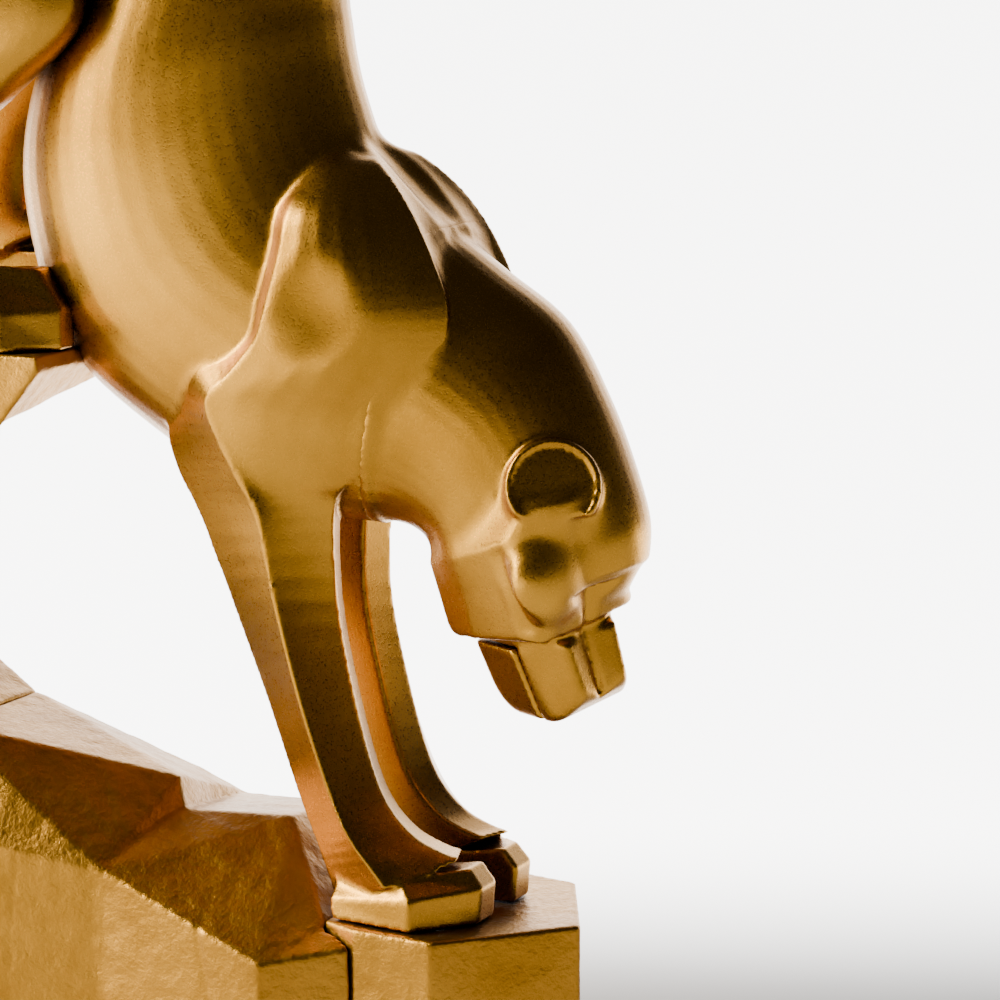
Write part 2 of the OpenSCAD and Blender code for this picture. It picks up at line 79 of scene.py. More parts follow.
class Clay:
    """A box of space, cut into a grid, in which distance fields are shaped."""

    def __init__(self, low, high, grit):
        self.grit = grit
        self.first = np.floor(np.array(low) / grit).astype(int)
        self.count = np.ceil(np.array(high) / grit).astype(int) - self.first + 1
        axes = [(self.first[i] + np.arange(self.count[i], dtype=np.float32)) * grit for i in range(3)]
        self.x, self.y, self.z = np.meshgrid(*axes, indexing="ij", sparse=True)

    def from_rings(self, rings):
        """Distance field of a closed skin over rings with equal point counts."""
        return self.from_triangles(*skin(rings))

    def from_corners(self, corners):
        """Distance field of the convex block with these corners."""
        hull = bmesh.new()
        for corner in corners:
            hull.verts.new(corner)
        bmesh.ops.convex_hull(hull, input=hull.verts)
        bmesh.ops.triangulate(hull, faces=hull.faces)
        hull.verts.index_update()
        points = np.array([v.co[:] for v in hull.verts], dtype=np.float32)
        faces = np.array([[v.index for v in f.verts] for f in hull.faces], dtype=np.uint32)
        hull.free()
        return self.from_triangles(points, faces)

    def from_triangles(self, points, faces):
        """Distance field of a closed mesh."""
        grid = openvdb.FloatGrid.createLevelSetFromPolygons(
            points, triangles=faces, halfWidth=float(BAND),
            transform=openvdb.createLinearTransform(self.grit))
        field = np.zeros(tuple(self.count), dtype=np.float32)
        grid.copyToArray(field, ijk=tuple(int(i) for i in self.first))
        return field

    def box(self, low, high):
        """Distance to an upright box."""
        out = np.maximum(low[0] - self.x, self.x - high[0])
        out = np.maximum(out, np.maximum(low[1] - self.y, self.y - high[1]))
        return np.maximum(out, np.maximum(low[2] - self.z, self.z - high[2])).astype(np.float32)

    def ripple(self, size, depth, seed):
        """Random swells of about one size, in millimetres, for faces that were cast in sand."""
        lattice = [int(n * self.grit / size) + 3 for n in self.count]
        swell = np.random.default_rng(seed).uniform(-depth, depth, lattice)
        for axis in range(3):
            at = np.arange(self.count[axis]) * self.grit / size
            low = np.floor(at).astype(int)
            t = at - low
            t = (t * t * (3 - 2 * t)).reshape([-1 if i == axis else 1 for i in range(3)])
            swell = np.take(swell, low, axis) * (1 - t) + np.take(swell, low + 1, axis) * t
        return swell.astype(np.float32)

    def mesh(self, field):
        """Points and quads of the field's zero surface, in millimetres."""
        limit = BAND * self.grit
        grid = openvdb.FloatGrid(limit)
        grid.copyFromArray(np.clip(field, -limit, limit).astype(np.float32),
                           ijk=tuple(int(i) for i in self.first))
        grid.transform = openvdb.createLinearTransform(self.grit)
        return grid.convertToQuads(isovalue=0.0)

    def plane(self, point, normal):
        """Distance beyond a plane: positive on the side that the normal points to."""
        n = Vector(normal).normalized()
        return ((self.x - point[0]) * n.x + (self.y - point[1]) * n.y
                + (self.z - point[2]) * n.z).astype(np.float32)

    def ellipsoid(self, centre, radii, tilt=0.0):
        """Near distance to an ellipsoid, tilted about Y by an angle in degrees."""
        c, s = math.cos(math.radians(tilt)), math.sin(math.radians(tilt))
        dx, dy, dz = self.x - centre[0], self.y - centre[1], self.z - centre[2]
        u, v, w = (dx * c + dz * s) / radii[0], dy / radii[1], (dz * c - dx * s) / radii[2]
        k0 = np.sqrt(u * u + v * v + w * w) + 1e-6
        k1 = np.sqrt((u / radii[0]) ** 2 + (v / radii[1]) ** 2 + (w / radii[2]) ** 2) + 1e-6
        return (k0 * (k0 - 1.0) / k1).astype(np.float32)

    def rod(self, a, b, radius_a, radius_b):
        """Distance to a round rod that tapers from one end to the other."""
        a, b = np.array(a, dtype=np.float32), np.array(b, dtype=np.float32)
        d = b - a
        px, py, pz = self.x - a[0], self.y - a[1], self.z - a[2]
        t = np.clip((px * d[0] + py * d[1] + pz * d[2]) / float(d @ d), 0, 1)
        gap = np.sqrt((px - t * d[0]) ** 2 + (py - t * d[1]) ** 2 + (pz - t * d[2]) ** 2)
        return (gap - (radius_a + (radius_b - radius_a) * t)).astype(np.float32)

def blend(a, b, width):
    """Joins two masses with a fillet of about that width."""
    h = np.clip(0.5 + 0.5 * (b - a) / width, 0, 1)
    return b * (1 - h) + a * h - width * h * (1 - h)


def cut(a, b, width):
    """Takes mass b out of mass a and eases the edge by about that width."""
    return -blend(-a, b, width)


def meet(a, b, width):
    """Keeps what two masses share and eases the edge by about that width."""
    return -blend(-a, -b, width)


def spline(a, b, c, d, t):
    """Catmull-Rom curve from b to c."""
    slope = (c - a) * t
    bend = (2 * a - 5 * b + 4 * c - d) * t * t
    return 0.5 * (2 * b + slope + bend + (3 * b - a - 3 * c + d) * t ** 3)


def refined(stations, steps):
    """Stations with smooth ones added between them."""
    rows = [np.array(s, dtype=float) for s in stations]
    last = len(rows) - 1
    out = []
    for i in range(last):
        around = [rows[max(0, i - 1)], rows[i], rows[i + 1], rows[min(last, i + 2)]]
        out += [spline(*around, k / steps) for k in range(steps)]
    return out + [rows[last]]


def skin(rings):
    """Points and triangles of a closed skin over rings of points."""
    n = len(rings[0])
    points = [p for ring in rings for p in ring]
    faces = []
    for i in range(len(rings) - 1):
        for k in range(n):
            a, b, c, d = i * n + k, i * n + (k + 1) % n, (i + 1) * n + k, (i + 1) * n + (k + 1) % n
            faces += [(a, b, c), (b, d, c)]
    for start in (0, (len(rings) - 1) * n):
        centre = len(points)
        points.append(np.mean(points[start:start + n], axis=0))
        faces += [(start + k, start + (k + 1) % n, centre) for k in range(n)]
    return np.array(points, dtype=np.float32), np.array(faces, dtype=np.uint32)


def oval_rings(stations, side_y=0.0, steps=6, sides=48):
    """Rings of a loft. A station is belly x and z, back x and z, half width, squareness."""
    rings = []
    for bx, bz, kx, kz, half, square in refined(stations, steps):
        ring = []
        for k in range(sides):
            angle = 2 * math.pi * k / sides
            along = math.copysign(abs(math.cos(angle)) ** square, math.cos(angle))
            across = math.copysign(abs(math.sin(angle)) ** square, math.sin(angle))
            ring.append(((bx + kx) / 2 + (kx - bx) / 2 * along, side_y + half * across,
                         (bz + kz) / 2 + (kz - bz) / 2 * along))
        rings.append(ring)
    return rings


# --- metal ----------------------------------------------------------------------------------

def linear(hex_colour):
    """sRGB hex to the linear RGBA that the shader takes."""
    channels = [int(hex_colour[i:i + 2], 16) / 255 for i in (1, 3, 5)]
    return [c / 12.92 if c <= 0.04045 else ((c + 0.055) / 1.055) ** 2.4 for c in channels] + [1.0]


def add(tree, kind, settings=None, **links):
    """Adds a node. settings are its properties or socket values, links name its input sockets."""
    n = tree.nodes.new(kind)
    for key, value in (settings or {}).items():
        if isinstance(key, int) or key in n.inputs and not hasattr(n, key):
            n.inputs[key].default_value = value
        else:
            setattr(n, key, value)
    for key, source in links.items():
        socket = int(key[1:]) if key[0] == "i" and key[1:].isdigit() else key.replace("_", " ")
        tree.links.new(source, n.inputs[socket])
    return n


DRIFT_MM = 18          # how wide the paler and deeper areas of the gilding are
DIRT_MM = 3.5          # how far brown dirt reaches out of a corner
TOOTH_MM = 1.0         # tooth of the small hardware, drawn coarser than the real one so that it shows
TOOTH_DEPTH_MM = 0.01


def gilt(name, base, pale, patina, roughness, grain_mm, grain_depth, relief_mm, relief_depth):
    """Gilding over cast brass: a metal whose colour drifts from pale gold to deep gold, brown where
    polish never reaches, with the grain of the casting under it."""
    mat = bpy.data.materials.new(name)
    mat.use_nodes = True
    tree = mat.node_tree
    shader = tree.nodes["Principled BSDF"]
    shader.inputs["Metallic"].default_value = 1.0
    place = add(tree, "ShaderNodeTexCoord").outputs["Object"]
    drift = add(tree, "ShaderNodeTexNoise", {"Scale": 1 / (DRIFT_MM * MM), "Detail": 4.0}, Vector=place)
    speck = add(tree, "ShaderNodeTexNoise", {"Scale": 1 / (grain_mm * MM), "Detail": 3.0, "Roughness": 0.7},
                Vector=place)
    lumps = add(tree, "ShaderNodeTexNoise", {"Scale": 1 / (relief_mm * MM), "Detail": 3.0}, Vector=place)
    tone = add(tree, "ShaderNodeValToRGB", Fac=drift.outputs["Fac"])
    tone.color_ramp.elements[0].position = 0.3
    tone.color_ramp.elements[0].color = linear(base)
    tone.color_ramp.elements[1].position = 0.72
    tone.color_ramp.elements[1].color = linear(pale)
    hollow = add(tree, "ShaderNodeAmbientOcclusion", {"samples": 6, "Distance": DIRT_MM * MM})
    dirt = add(tree, "ShaderNodeMath", {"operation": "MULTIPLY_ADD", 1: 0.45, 2: -0.12},
               i0=speck.outputs["Fac"])
    reach = add(tree, "ShaderNodeMath", {"operation": "ADD", "use_clamp": True},
                i0=hollow.outputs["AO"], i1=dirt.outputs[0])
    worn = add(tree, "ShaderNodeMapRange", {"From Min": 0.2, "From Max": 0.62}, Value=reach.outputs[0])
    colour = add(tree, "ShaderNodeMix", {"data_type": "RGBA"}, Factor=worn.outputs["Result"])
    colour.inputs[6].default_value = linear(patina)
    tree.links.new(tone.outputs["Color"], colour.inputs[7])
    tree.links.new(colour.outputs[2], shader.inputs["Base Color"])
    rough = add(tree, "ShaderNodeMapRange",
                {"From Min": 0.3, "From Max": 0.7, "To Min": roughness - 0.05, "To Max": roughness + 0.08},
                Value=speck.outputs["Fac"])
    tree.links.new(rough.outputs["Result"], shader.inputs["Roughness"])
    fine = add(tree, "ShaderNodeBump", {"Strength": 1.0, "Distance": grain_depth * MM},
               Height=speck.outputs["Fac"])
    broad = add(tree, "ShaderNodeBump", {"Strength": 1.0, "Distance": relief_depth * MM},
                Height=lumps.outputs["Fac"], Normal=fine.outputs["Normal"])
    tree.links.new(broad.outputs["Normal"], shader.inputs["Normal"])
    return mat


def plain(name, colour, metallic, roughness):
    """A turned, rolled or moulded finish with a fine tooth."""
    mat = bpy.data.materials.new(name)
    mat.use_nodes = True
    tree = mat.node_tree
    shader = tree.nodes["Principled BSDF"]
    shader.inputs["Metallic"].default_value = metallic
    place = add(tree, "ShaderNodeTexCoord").outputs["Object"]
    tooth = add(tree, "ShaderNodeTexNoise", {"Scale": 1 / (TOOTH_MM * MM), "Detail": 3.0}, Vector=place)
    tone = add(tree, "ShaderNodeValToRGB", Fac=tooth.outputs["Fac"])
    light = linear(colour)
    tone.color_ramp.elements[0].color = [c * 0.82 for c in light[:3]] + [1.0]
    tone.color_ramp.elements[1].color = light
    tree.links.new(tone.outputs["Color"], shader.inputs["Base Color"])
    rough = add(tree, "ShaderNodeMapRange", {"To Min": roughness - 0.06, "To Max": roughness + 0.06},
                Value=tooth.outputs["Fac"])
    tree.links.new(rough.outputs["Result"], shader.inputs["Roughness"])
    bump = add(tree, "ShaderNodeBump", {"Strength": 1.0, "Distance": TOOTH_DEPTH_MM * MM},
               Height=tooth.outputs["Fac"])
    tree.links.new(bump.outputs["Normal"], shader.inputs["Normal"])
    return mat


# Satin gilding on a smooth casting: soft broad highlights with a faint metallic sparkle. The real
# grain is finer than 0.3 mm and is drawn at that size so that it shows.
satin_gilt = gilt("satin_gilt_cast_brass", "#8e6116", "#b58229", "#33200e", 0.29, 0.3, 0.028, 9.0, 0.05)
# The same gilding over a sand-cast face: sandy, broken highlights.
sand_gilt = gilt("sand_cast_gilt_brass", "#8c5f17", "#b27f29", "#352110", 0.38, 0.6, 0.10, 3.0, 0.25)
# Turned and zinc plated steel: grey, fairly bright.
zinc_steel = plain("zinc_plated_steel", "#a9a9a6", 1.0, 0.35)
# Drawn brass rod: yellower and smoother than the gilding.
drawn_brass = plain("drawn_brass", "#c9a75a", 1.0, 0.3)
# Rolled brass plate, dulled by handling.
rolled_brass = plain("rolled_brass", "#a98a4a", 1.0, 0.42)
# Moulded rubber: nearly black and matte.
moulded_rubber = plain("moulded_rubber", "#1c1c1c", 0.0, 0.75)

FINISHES = {
    "fastener_steel": zinc_steel, "dowel_brass": drawn_brass, "plate_brass": rolled_brass,
    "gasket_rubber": moulded_rubber, "gilt_figure": satin_gilt, "gilt_rock": sand_gilt}
for row in frame["record"]["subparts"]:
    for slot in frame["nodes"][row["node"]].material_slots:
        slot.material = FINISHES[row["material_slot"]]


def cast(name, points, faces, node, metal):
    """Makes a piece from points in millimetres, on the rigid ornament, in place of its plain casting."""
    data = bpy.data.meshes.new(name)
    corners = [tuple(float(c) * MM for c in p) for p in points]
    data.from_pydata(corners, [], [tuple(int(i) for i in f) for f in faces])
    data.validate()
    data.update()
    data.shade_smooth()
    piece = bpy.data.objects.new(name, data)
    bpy.context.scene.collection.objects.link(piece)
    data.materials.append(metal)
    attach(piece, "root")
    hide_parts(node)
    return piece


# --- the body -------------------------------------------------------------------------------
# Body, neck, thigh and tail are lofts. A row is belly x and z, back x and z, half width, squareness.
BODY = [
    (46, 67.5, 54.4, 103.4, 12.3, 0.95),
    (30, 69.5, 47.6, 109.8, 13.6, 0.95),
    (14.5, 77.2, 44.3, 113.2, 14.3, 0.95),
    (2.8, 87.4, 42.4, 118, 14.5, 0.95),
    (-2.5, 105, 41, 123, 14.5, 0.95),
    (-0.8, 119, 40, 129, 14, 0.95),
    (4.5, 129, 38, 140, 12.5, 0.95),
    (2, 134, 25, 154, 12.3, 0.95),
    (-6, 133, 4, 161, 12.7, 0.95),
    (-12, 126, -14, 158, 12.5, 0.95),
    (-17, 120, -28, 147, 10.5, 0.95),
    (-22, 118, -33, 134, 7.5, 0.95),
    (-26, 120, -31, 126, 3, 0.95)]


# --- fore legs ------------------------------------------------------------------------------
ARC = 7                # points on the bowed outer face of a leg


def leg_rings(rows, steps):
    """Rings of a leg with crisp corners and a bowed outer face. A row is the rear corner, the ridge,
    the front corner, the bow of the face between the last two, and the depth of the inner side."""
    flat = [[*rear, *ridge, *front, bow, inner] for rear, ridge, front, bow, inner in rows]
    rings = []
    for row in refined(flat, steps):
        rear, ridge, front, bow, inner = row[0:3], row[3:6], row[6:9], row[9], row[10]
        ring = [tuple(rear)]
        for k in range(ARC):
            t = k / (ARC - 1)
            point = ridge + (front - ridge) * t
            ring.append((point[0], point[1] - bow * math.sin(math.pi * t), point[2]))
        ring.append((front[0] - 1.5, inner, front[2]))
        ring.append((rear[0] + 2, inner, rear[2]))
        rings.append(ring)
    return rings


# The right fore leg from the top of the shoulder down to the ankle.
FORE_LEG = [
    ((44, -4.4, 110.6), (45, -5.4, 111.2), (46, -4.6, 111.4), 0.1, -3.4),
    ((40.6, -6.6, 110.6), (42.2, -8.6, 110.8), (47.5, -5.8, 111.2), 0.7, -3.6),
    ((37.8, -9, 109), (40.5, -11.9, 108.6), (50.4, -7.2, 109), 1.7, -4),
    ((36.2, -10.9, 106.5), (39.5, -14.4, 105.5), (53.4, -8.6, 105.5), 2.6, -4),
    ((35.9, -12, 102), (39, -15.5, 101.1), (56.2, -9.6, 100.8), 3.1, -4),
    ((34.7, -13, 95.8), (37.4, -16.4, 94.3), (58.4, -10, 95.2), 3.3, -4),
    ((34, -13, 91.6), (36, -16.4, 90.6), (58, -10.2, 89.8), 3, -4),
    ((30.6, -12.6, 89.2), (32.4, -16.2, 86.2), (56, -10.6, 86), 2.4, -4),
    ((23.6, -11, 87.6), (29.3, -15.8, 83.1), (52, -11, 81.6), 1.5, -4),
    ((20.4, -9, 79), (30.4, -15.5, 79.2), (48.4, -10.8, 77), 0.8, -4),
    ((21.6, -9, 73.5), (33, -15, 74), (45.2, -9.8, 73), 0.3, -3.5),
    ((24.6, -9, 68), (35.6, -14.6, 69), (42.8, -8.6, 69.5), 0, -3.5),
    ((28.6, -8.5, 57.7), (37.4, -14, 59.1), (42.6, -7.5, 58.3), 0, -3),
    ((33.3, -8.5, 45.9), (40.6, -14, 47.2), (44.9, -7.5, 46.3), 0, -3),
    ((37.2, -8.5, 35.1), (44.4, -14, 36.5), (48.2, -7.5, 35.5), 0, -3),
    ((39.6, -8.5, 29.2), (47.2, -14.2, 30.9), (52, -7.5, 30.6), 0, -3),
    ((41.8, -9, 24.4), (50.5, -14.2, 26.9), (56, -7.5, 28.6), 0, -3),
    ((42.4, -9, 22.5), (52, -14.2, 25.0), (59, -7.5, 27.9), 0, -3)]
FORE_SOLE = STEP_Z + 0.1
FORE_PAW = [   # the sole, the height of the toes and the top, five corners each
    [(44, -12.5, FORE_SOLE), (55.2, -14.6, FORE_SOLE), (61.2, -7.5, FORE_SOLE), (61.2, -3, FORE_SOLE),
     (45.5, -3, FORE_SOLE)],
    [(43.4, -12, 22.5), (55.2, -14.4, 24.0), (61.6, -7.5, 24.6), (61.6, -3, 24.6), (45, -3, 22.5)],
    [(43.5, -10, 24.6), (53, -12.6, 26.2), (59.8, -7.2, 26.8), (59.8, -3, 26.8), (45.5, -3, 24.6)]]
SHOULDER_DISH = ((46.4, -22.9, 95.8), (14, 7.0, 18.0), 12)      # centre, radii, tilt


def fore_leg_field(clay):
    """Shoulder, leg and paw of the right side, with a shallow oval dish in the shoulder."""
    leg = clay.from_rings(leg_rings(FORE_LEG, 4))
    leg = blend(leg, clay.from_rings(FORE_PAW), 0.7)
    return cut(leg, clay.ellipsoid(*SHOULDER_DISH), 0.9)


def flare(clay):
    """How softly the shoulder runs into the body: crisp at its rear edge, flowing at its top."""
    return 0.7 + 3.6 * np.clip((clay.z - 96) / 9, 0, 1) * np.clip((clay.x - 38) / 5, 0, 1)


def mirrored(field):
    """The left side's field, on a grid that is even about the middle plane."""
    return field[:, ::-1, :]


# --- hind legs ------------------------------------------------------------------------------
THIGH = [
    (-19, 155.5, -14.5, 157, 1.6, 0.95),
    (-22.5, 154, -11.5, 156.8, 3.1, 0.95),
    (-26, 150, -9, 156, 4.2, 0.9),
    (-34, 138, 2, 150, 6.4, 0.9),
    (-34, 127, 10.5, 138, 7.2, 0.9),
    (-28.5, 118, 11.6, 127.5, 6.4, 0.85),
    (-26, 112, 3, 119, 5.4, 0.8),
    (-25.8, 106, -6.5, 111, 4.8, 0.75),
    (-25.5, 99, -9, 102.5, 4.6, 0.7),
    (-21, 93, -5, 100, 4.8, 0.6)]
HIND_Y = -13.4         # middle of the right thigh
HIND_PAW = [           # the sole, the height of the toes and the top
    [(-17, -17.5, LEDGE_Z), (2.6, -18.2, LEDGE_Z), (8, -12.5, LEDGE_Z), (8, -9.2, LEDGE_Z),
     (-16, -9.2, LEDGE_Z)],
    [(-17.5, -17.2, 92), (2.4, -17.8, 92.4), (8, -12.5, 92.6), (8, -9.2, 92.6), (-17, -9.2, 92)],
    [(-18, -16.5, 96), (-3, -16.4, 98.2), (4.6, -12.5, 97.4), (4.6, -9.4, 97.4), (-17.5, -9.4, 96)]]


def right_hind_leg(clay):
    """Thigh, shin and paw of the right side."""
    leg = clay.from_rings(oval_rings(THIGH, HIND_Y))
    return blend(leg, clay.from_rings(HIND_PAW), 1.5)


# The tail, from the rump down along the back of the rock.
TAIL = [
    (-30.5, 123, -30.5, 131, 3.8, 0.95),
    (-37, 122.5, -39, 130, 3.6, 0.95),
    (-42, 117, -48, 121, 3.4, 0.95),
    (-45, 104, -51.5, 105, 3.2, 0.95),
    (-48.5, 91, -54.5, 90, 3.1, 0.95),
    (-53, 80.5, -58, 77, 3, 0.95),
    (-61, 75.8, -62.5, 70, 2.9, 0.95),
    (-67.5, 77.5, -71, 73.5, 2.6, 0.95),
    (-68.5, 81, -73, 81.5, 2, 0.95)]


# --- neck and head --------------------------------------------------------------------------
NECK = [
    (40, 67.8, 46.6, 107, 12.2, 0.95),
    (45.5, 67.6, 54.2, 103, 12.0, 0.95),
    (50.4, 66.8, 60.8, 98.6, 11.4, 0.95),
    (53.2, 64.5, 68.9, 92.8, 11.0, 0.95),
    (54.2, 61.5, 74.2, 84, 10.2, 0.92),
    (55.4, 59.5, 77.6, 76, 9.4, 0.9),
    (58, 59, 79.6, 69.5, 8.4, 0.9),
    (62, 60, 79.4, 65, 7, 0.9)]


class HeadClay(Clay):
    """Clay whose grid can be read in the head's own turned and tilted directions."""

    def lay(self, pivot, turn, tilt):
        """hx runs out of the face, hy to the animal's left, hz up the face, from the pivot."""
        c, s = math.cos(math.radians(turn)), math.sin(math.radians(turn))
        k, j = math.cos(math.radians(tilt)), math.sin(math.radians(tilt))
        dx, dy, dz = self.x - pivot[0], self.y - pivot[1], self.z - pivot[2]
        full = np.zeros(tuple(self.count), dtype=np.float32)
        across = dy * c - dx * s
        self.hx = (dx * c + dy * s + full).astype(np.float32)
        self.hy = (across * k + dz * j + full).astype(np.float32)
        self.hz = (dz * k - across * j + full).astype(np.float32)

    def ball(self, centre, radii):
        """Near distance to an ellipsoid in the head's directions."""
        u, v, w = ((self.hx - centre[0]) / radii[0], (self.hy - centre[1]) / radii[1],
                   (self.hz - centre[2]) / radii[2])
        k0 = np.sqrt(u * u + v * v + w * w) + 1e-6
        k1 = np.sqrt((u / radii[0]) ** 2 + (v / radii[1]) ** 2 + (w / radii[2]) ** 2) + 1e-6
        return k0 * (k0 - 1.0) / k1

    def flat(self, point, normal):
        """Distance beyond a plane in the head's directions."""
        n = Vector(normal).normalized()
        return (self.hx - point[0]) * n.x + (self.hy - point[1]) * n.y + (self.hz - point[2]) * n.z

    def slab(self, *flats, ease=0.5):
        """The space behind every one of a set of planes."""
        out = self.flat(*flats[0])
        for f in flats[1:]:
            out = meet(out, self.flat(*f), ease)
        return out

    def bar(self, a, b, radius):
        """A round bar in the head's directions."""
        a, b = np.array(a, dtype=np.float32), np.array(b, dtype=np.float32)
        d = b - a
        px, py, pz = self.hx - a[0], self.hy - a[1], self.hz - a[2]
        t = np.clip((px * d[0] + py * d[1] + pz * d[2]) / float(d @ d), 0, 1)
        return np.sqrt((px - t * d[0]) ** 2 + (py - t * d[1]) ** 2 + (pz - t * d[2]) ** 2) - radius

    def valley(self, front, top, bottom, half_top, half_bottom, depth_top, depth_bottom):
        """A V-shaped valley down the middle of a front face, between two levels."""
        t = np.clip((top - self.hz) / (top - bottom), 0, 1)
        half = half_top + (half_bottom - half_top) * t
        depth = depth_top + (depth_bottom - depth_top) * t
        vee = -(self.hx - front + depth * (1 - np.abs(self.hy) / half))
        vee = vee / np.sqrt(1 + (depth / half) ** 2)
        return np.maximum(vee, np.maximum(self.hz - top, bottom - self.hz))


HEAD_PIVOT = (66, 0, 60)
HEAD_TURN = -30        # the face looks to the animal's right
HEAD_TILT = 15         # and its left cheek is raised
# Ears by side: the right is -1 and the left is 1.
EAR_AT = {-1: (71.6, -9.3, 74.6), 1: (65.5, 8.2, 77)}
EAR_R = 5.7
EAR_RIM = 0.8          # width of the raised rim
EAR_FACING = {-1: (0.42, -0.88, 0.22), 1: (-0.1, 0.97, 0.25)}


def ear(clay, side):
    """A half-round disc that faces outwards, with a raised rim and a flat face."""
    n, at = Vector(EAR_FACING[side]).normalized(), EAR_AT[side]
    px, py, pz = clay.x - at[0], clay.y - at[1], clay.z - at[2]
    depth = px * n.x + py * n.y + pz * n.z
    radial = np.sqrt(np.maximum(px * px + py * py + pz * pz - depth * depth, 0))
    disc = meet(radial - EAR_R, np.abs(depth + 1.6) - 3.4, 0.6)
    dish = meet(radial - EAR_R + EAR_RIM, -(depth - 1.35), 0.1)
    disc = cut(disc, dish, 0.2)
    return meet(disc, -(pz + 3.2), 0.5)


def skull_block(clay, both):
    """A planed block, full at the cheeks and narrower at the front."""
    block = clay.slab(((9.4, 0, 0), (1, 0, -0.22)), ((-7.7, 0, 2), (-1, 0, -0.1)),
                      ((0, 0, -3.2), (0, 0, -1)), ((0, 0, 15), (0, 0, 1)), ease=1.8)
    narrower = 0.16 * np.clip(clay.hx + 2, 0, 20)
    cheek = both - 9.5 + narrower + 0.6 * np.clip(clay.hz - 8.5 - 0.3 * clay.hx, 0, 20)
    block = meet(block, cheek, 0.8)
    for side in (-1, 1):
        block = meet(block, side * clay.hy * 0.66 + (clay.hx - 9.4) * 0.75 - 4.0, 1.2)
    return block


def muzzle_block(clay, both):
    """Muzzle and jaw in one block that tapers downwards, with a valley down its front."""
    block = clay.slab(((8.9, 0, -6), (1, 0, 0.06)), ((-6.3, 0, -9), (-1, 0, -0.12)),
                      ((0, 0, -14.5), (0, 0, -1)), ((7.6, 0, -12.6), (0.6, 0, -0.8)),
                      ((-5, 0, -13.2), (-0.7, 0, -0.7)), ((0, 0, 0), (0, 0, 1)), ease=1.3)
    block = meet(block, both - 6.9 - 0.12 * (clay.hz + 3), 1.2)
    for side in (-1, 1):
        block = meet(block, side * clay.hy * 0.92 + clay.hx * 0.4 - 7.0, 0.7)
    return cut(block, clay.valley(8.9, -2.5, -12.4, 4.2, 1.5, 1.9, 0.6), 0.35)


def creased(clay, head):
    """Cuts the dimple between the brows, the lip line and the hollow under each cheek."""
    head = cut(head, clay.valley(10.2, 2.4, -3.4, 1.2, 2.8, 0.6, 2.6), 0.4)
    head = cut(head, clay.bar((8.0, 0, -3.2), (8.0, 0, -11.5), 0.4), 0.5)
    for side in (-1, 1):
        head = cut(head, clay.bar((9.0, side * 0.4, -3.6), (7.2, side * 6.6, -2.9), 0.45), 0.7)
        head = cut(head, clay.bar((6.4, side * 7.6, -3.6), (-3.4, side * 8.2, -4.0), 1.0), 1.3)
    return head


def head_fields(clay, neck):
    """The skull with its neck, and the lower jaw."""
    clay.lay(HEAD_PIVOT, HEAD_TURN, HEAD_TILT)
    both = np.abs(clay.hy)
    head = blend(neck, skull_block(clay, both), 1.4)
    for side in (-1, 1):
        # brows over the eyes, and the groove behind each
        head = blend(head, clay.ball((8.6, side * 4.4, 4.9), (3.4, 5.0, 5.2)), 2.0)
        head = cut(head, clay.bar((6.0, side * 9.6, 8.6), (8.0, side * 8.6, 0.0), 0.9), 1.6)
        head = blend(head, ear(clay, side), 0.8)
    head = creased(clay, blend(head, muzzle_block(clay, both), 0.4))
    # the jaw comes off along the mouth
    mouth = clay.hx - 1.7 - 0.1 * (-4.8 - clay.hz)
    room = np.maximum(mouth, clay.hz + 4.6)
    jaw = meet(meet(head, np.maximum(mouth + 0.3, clay.hz + 4.8), 0.5), -(clay.hx + 8), 0.3)
    return cut(head, room - 0.2, 0.3), jaw


# --- figure ---------------------------------------------------------------------------------
NECK_JOINT = ((50, 0, 85.2), (35.5, 0, -9))     # where the neck is doweled to the body
JOINT_LAP = 0.5                                 # how far a casting runs in under its neighbour
UNDER = 0.05                                    # and how far below its surface
POLISH = (0.5, -0.52)                           # each pass smooths, then swells back


def polished(points, faces, passes):
    """Evens out the steps of the grid without shrinking the casting."""
    a = np.concatenate([faces[:, i] for i in range(4)])
    b = np.concatenate([faces[:, (i + 1) % 4] for i in range(4)])
    count = np.bincount(a, minlength=len(points)) + np.bincount(b, minlength=len(points))
    points = points.astype(np.float64)
    total = len(points)
    for _ in range(passes):
        for strength in POLISH:
            sums = [np.bincount(a, points[b, i], total) + np.bincount(b, points[a, i], total)
                    for i in range(3)]
            mean = np.stack([along / count for along in sums], axis=1)
            points = points + strength * (mean - points)
    return points


def cast_clay(name, clay, field, node, metal=satin_gilt, passes=6):
    """Meshes clay, polishes it and casts it."""
    points, faces = clay.mesh(field)
    cast(name, polished(points, faces, passes), faces[:, ::-1], node, metal)


def cast_pair(part, clay, field, passes=6):
    """The right and left legs are one shape and its mirror image."""
    points, faces = clay.mesh(field)
    points = polished(points, faces, passes)
    right, left = "right_" + part, "left_" + part
    cast(right + "_casting", points, faces[:, ::-1], right, satin_gilt)
    cast(left + "_casting", points * np.array([1, -1, 1]), faces, left, satin_gilt)


def trunk(clay):
    """Body and neck run into one another."""
    return blend(clay.from_rings(oval_rings(BODY)), clay.from_rings(oval_rings(NECK)), 2.0)


def flesh(clay, bare):
    """The trunk with the shoulders flowing into it, and room left for the fore legs."""
    leg = fore_leg_field(clay)
    soft = flare(clay)
    whole = blend(blend(bare, leg, soft), mirrored(leg), soft)
    whole = np.where(np.abs(clay.y) < CORE_Y, np.minimum(whole, bare), whole)
    return cut(whole + UNDER, np.minimum(leg, mirrored(leg)) + JOINT_LAP, 0.05)


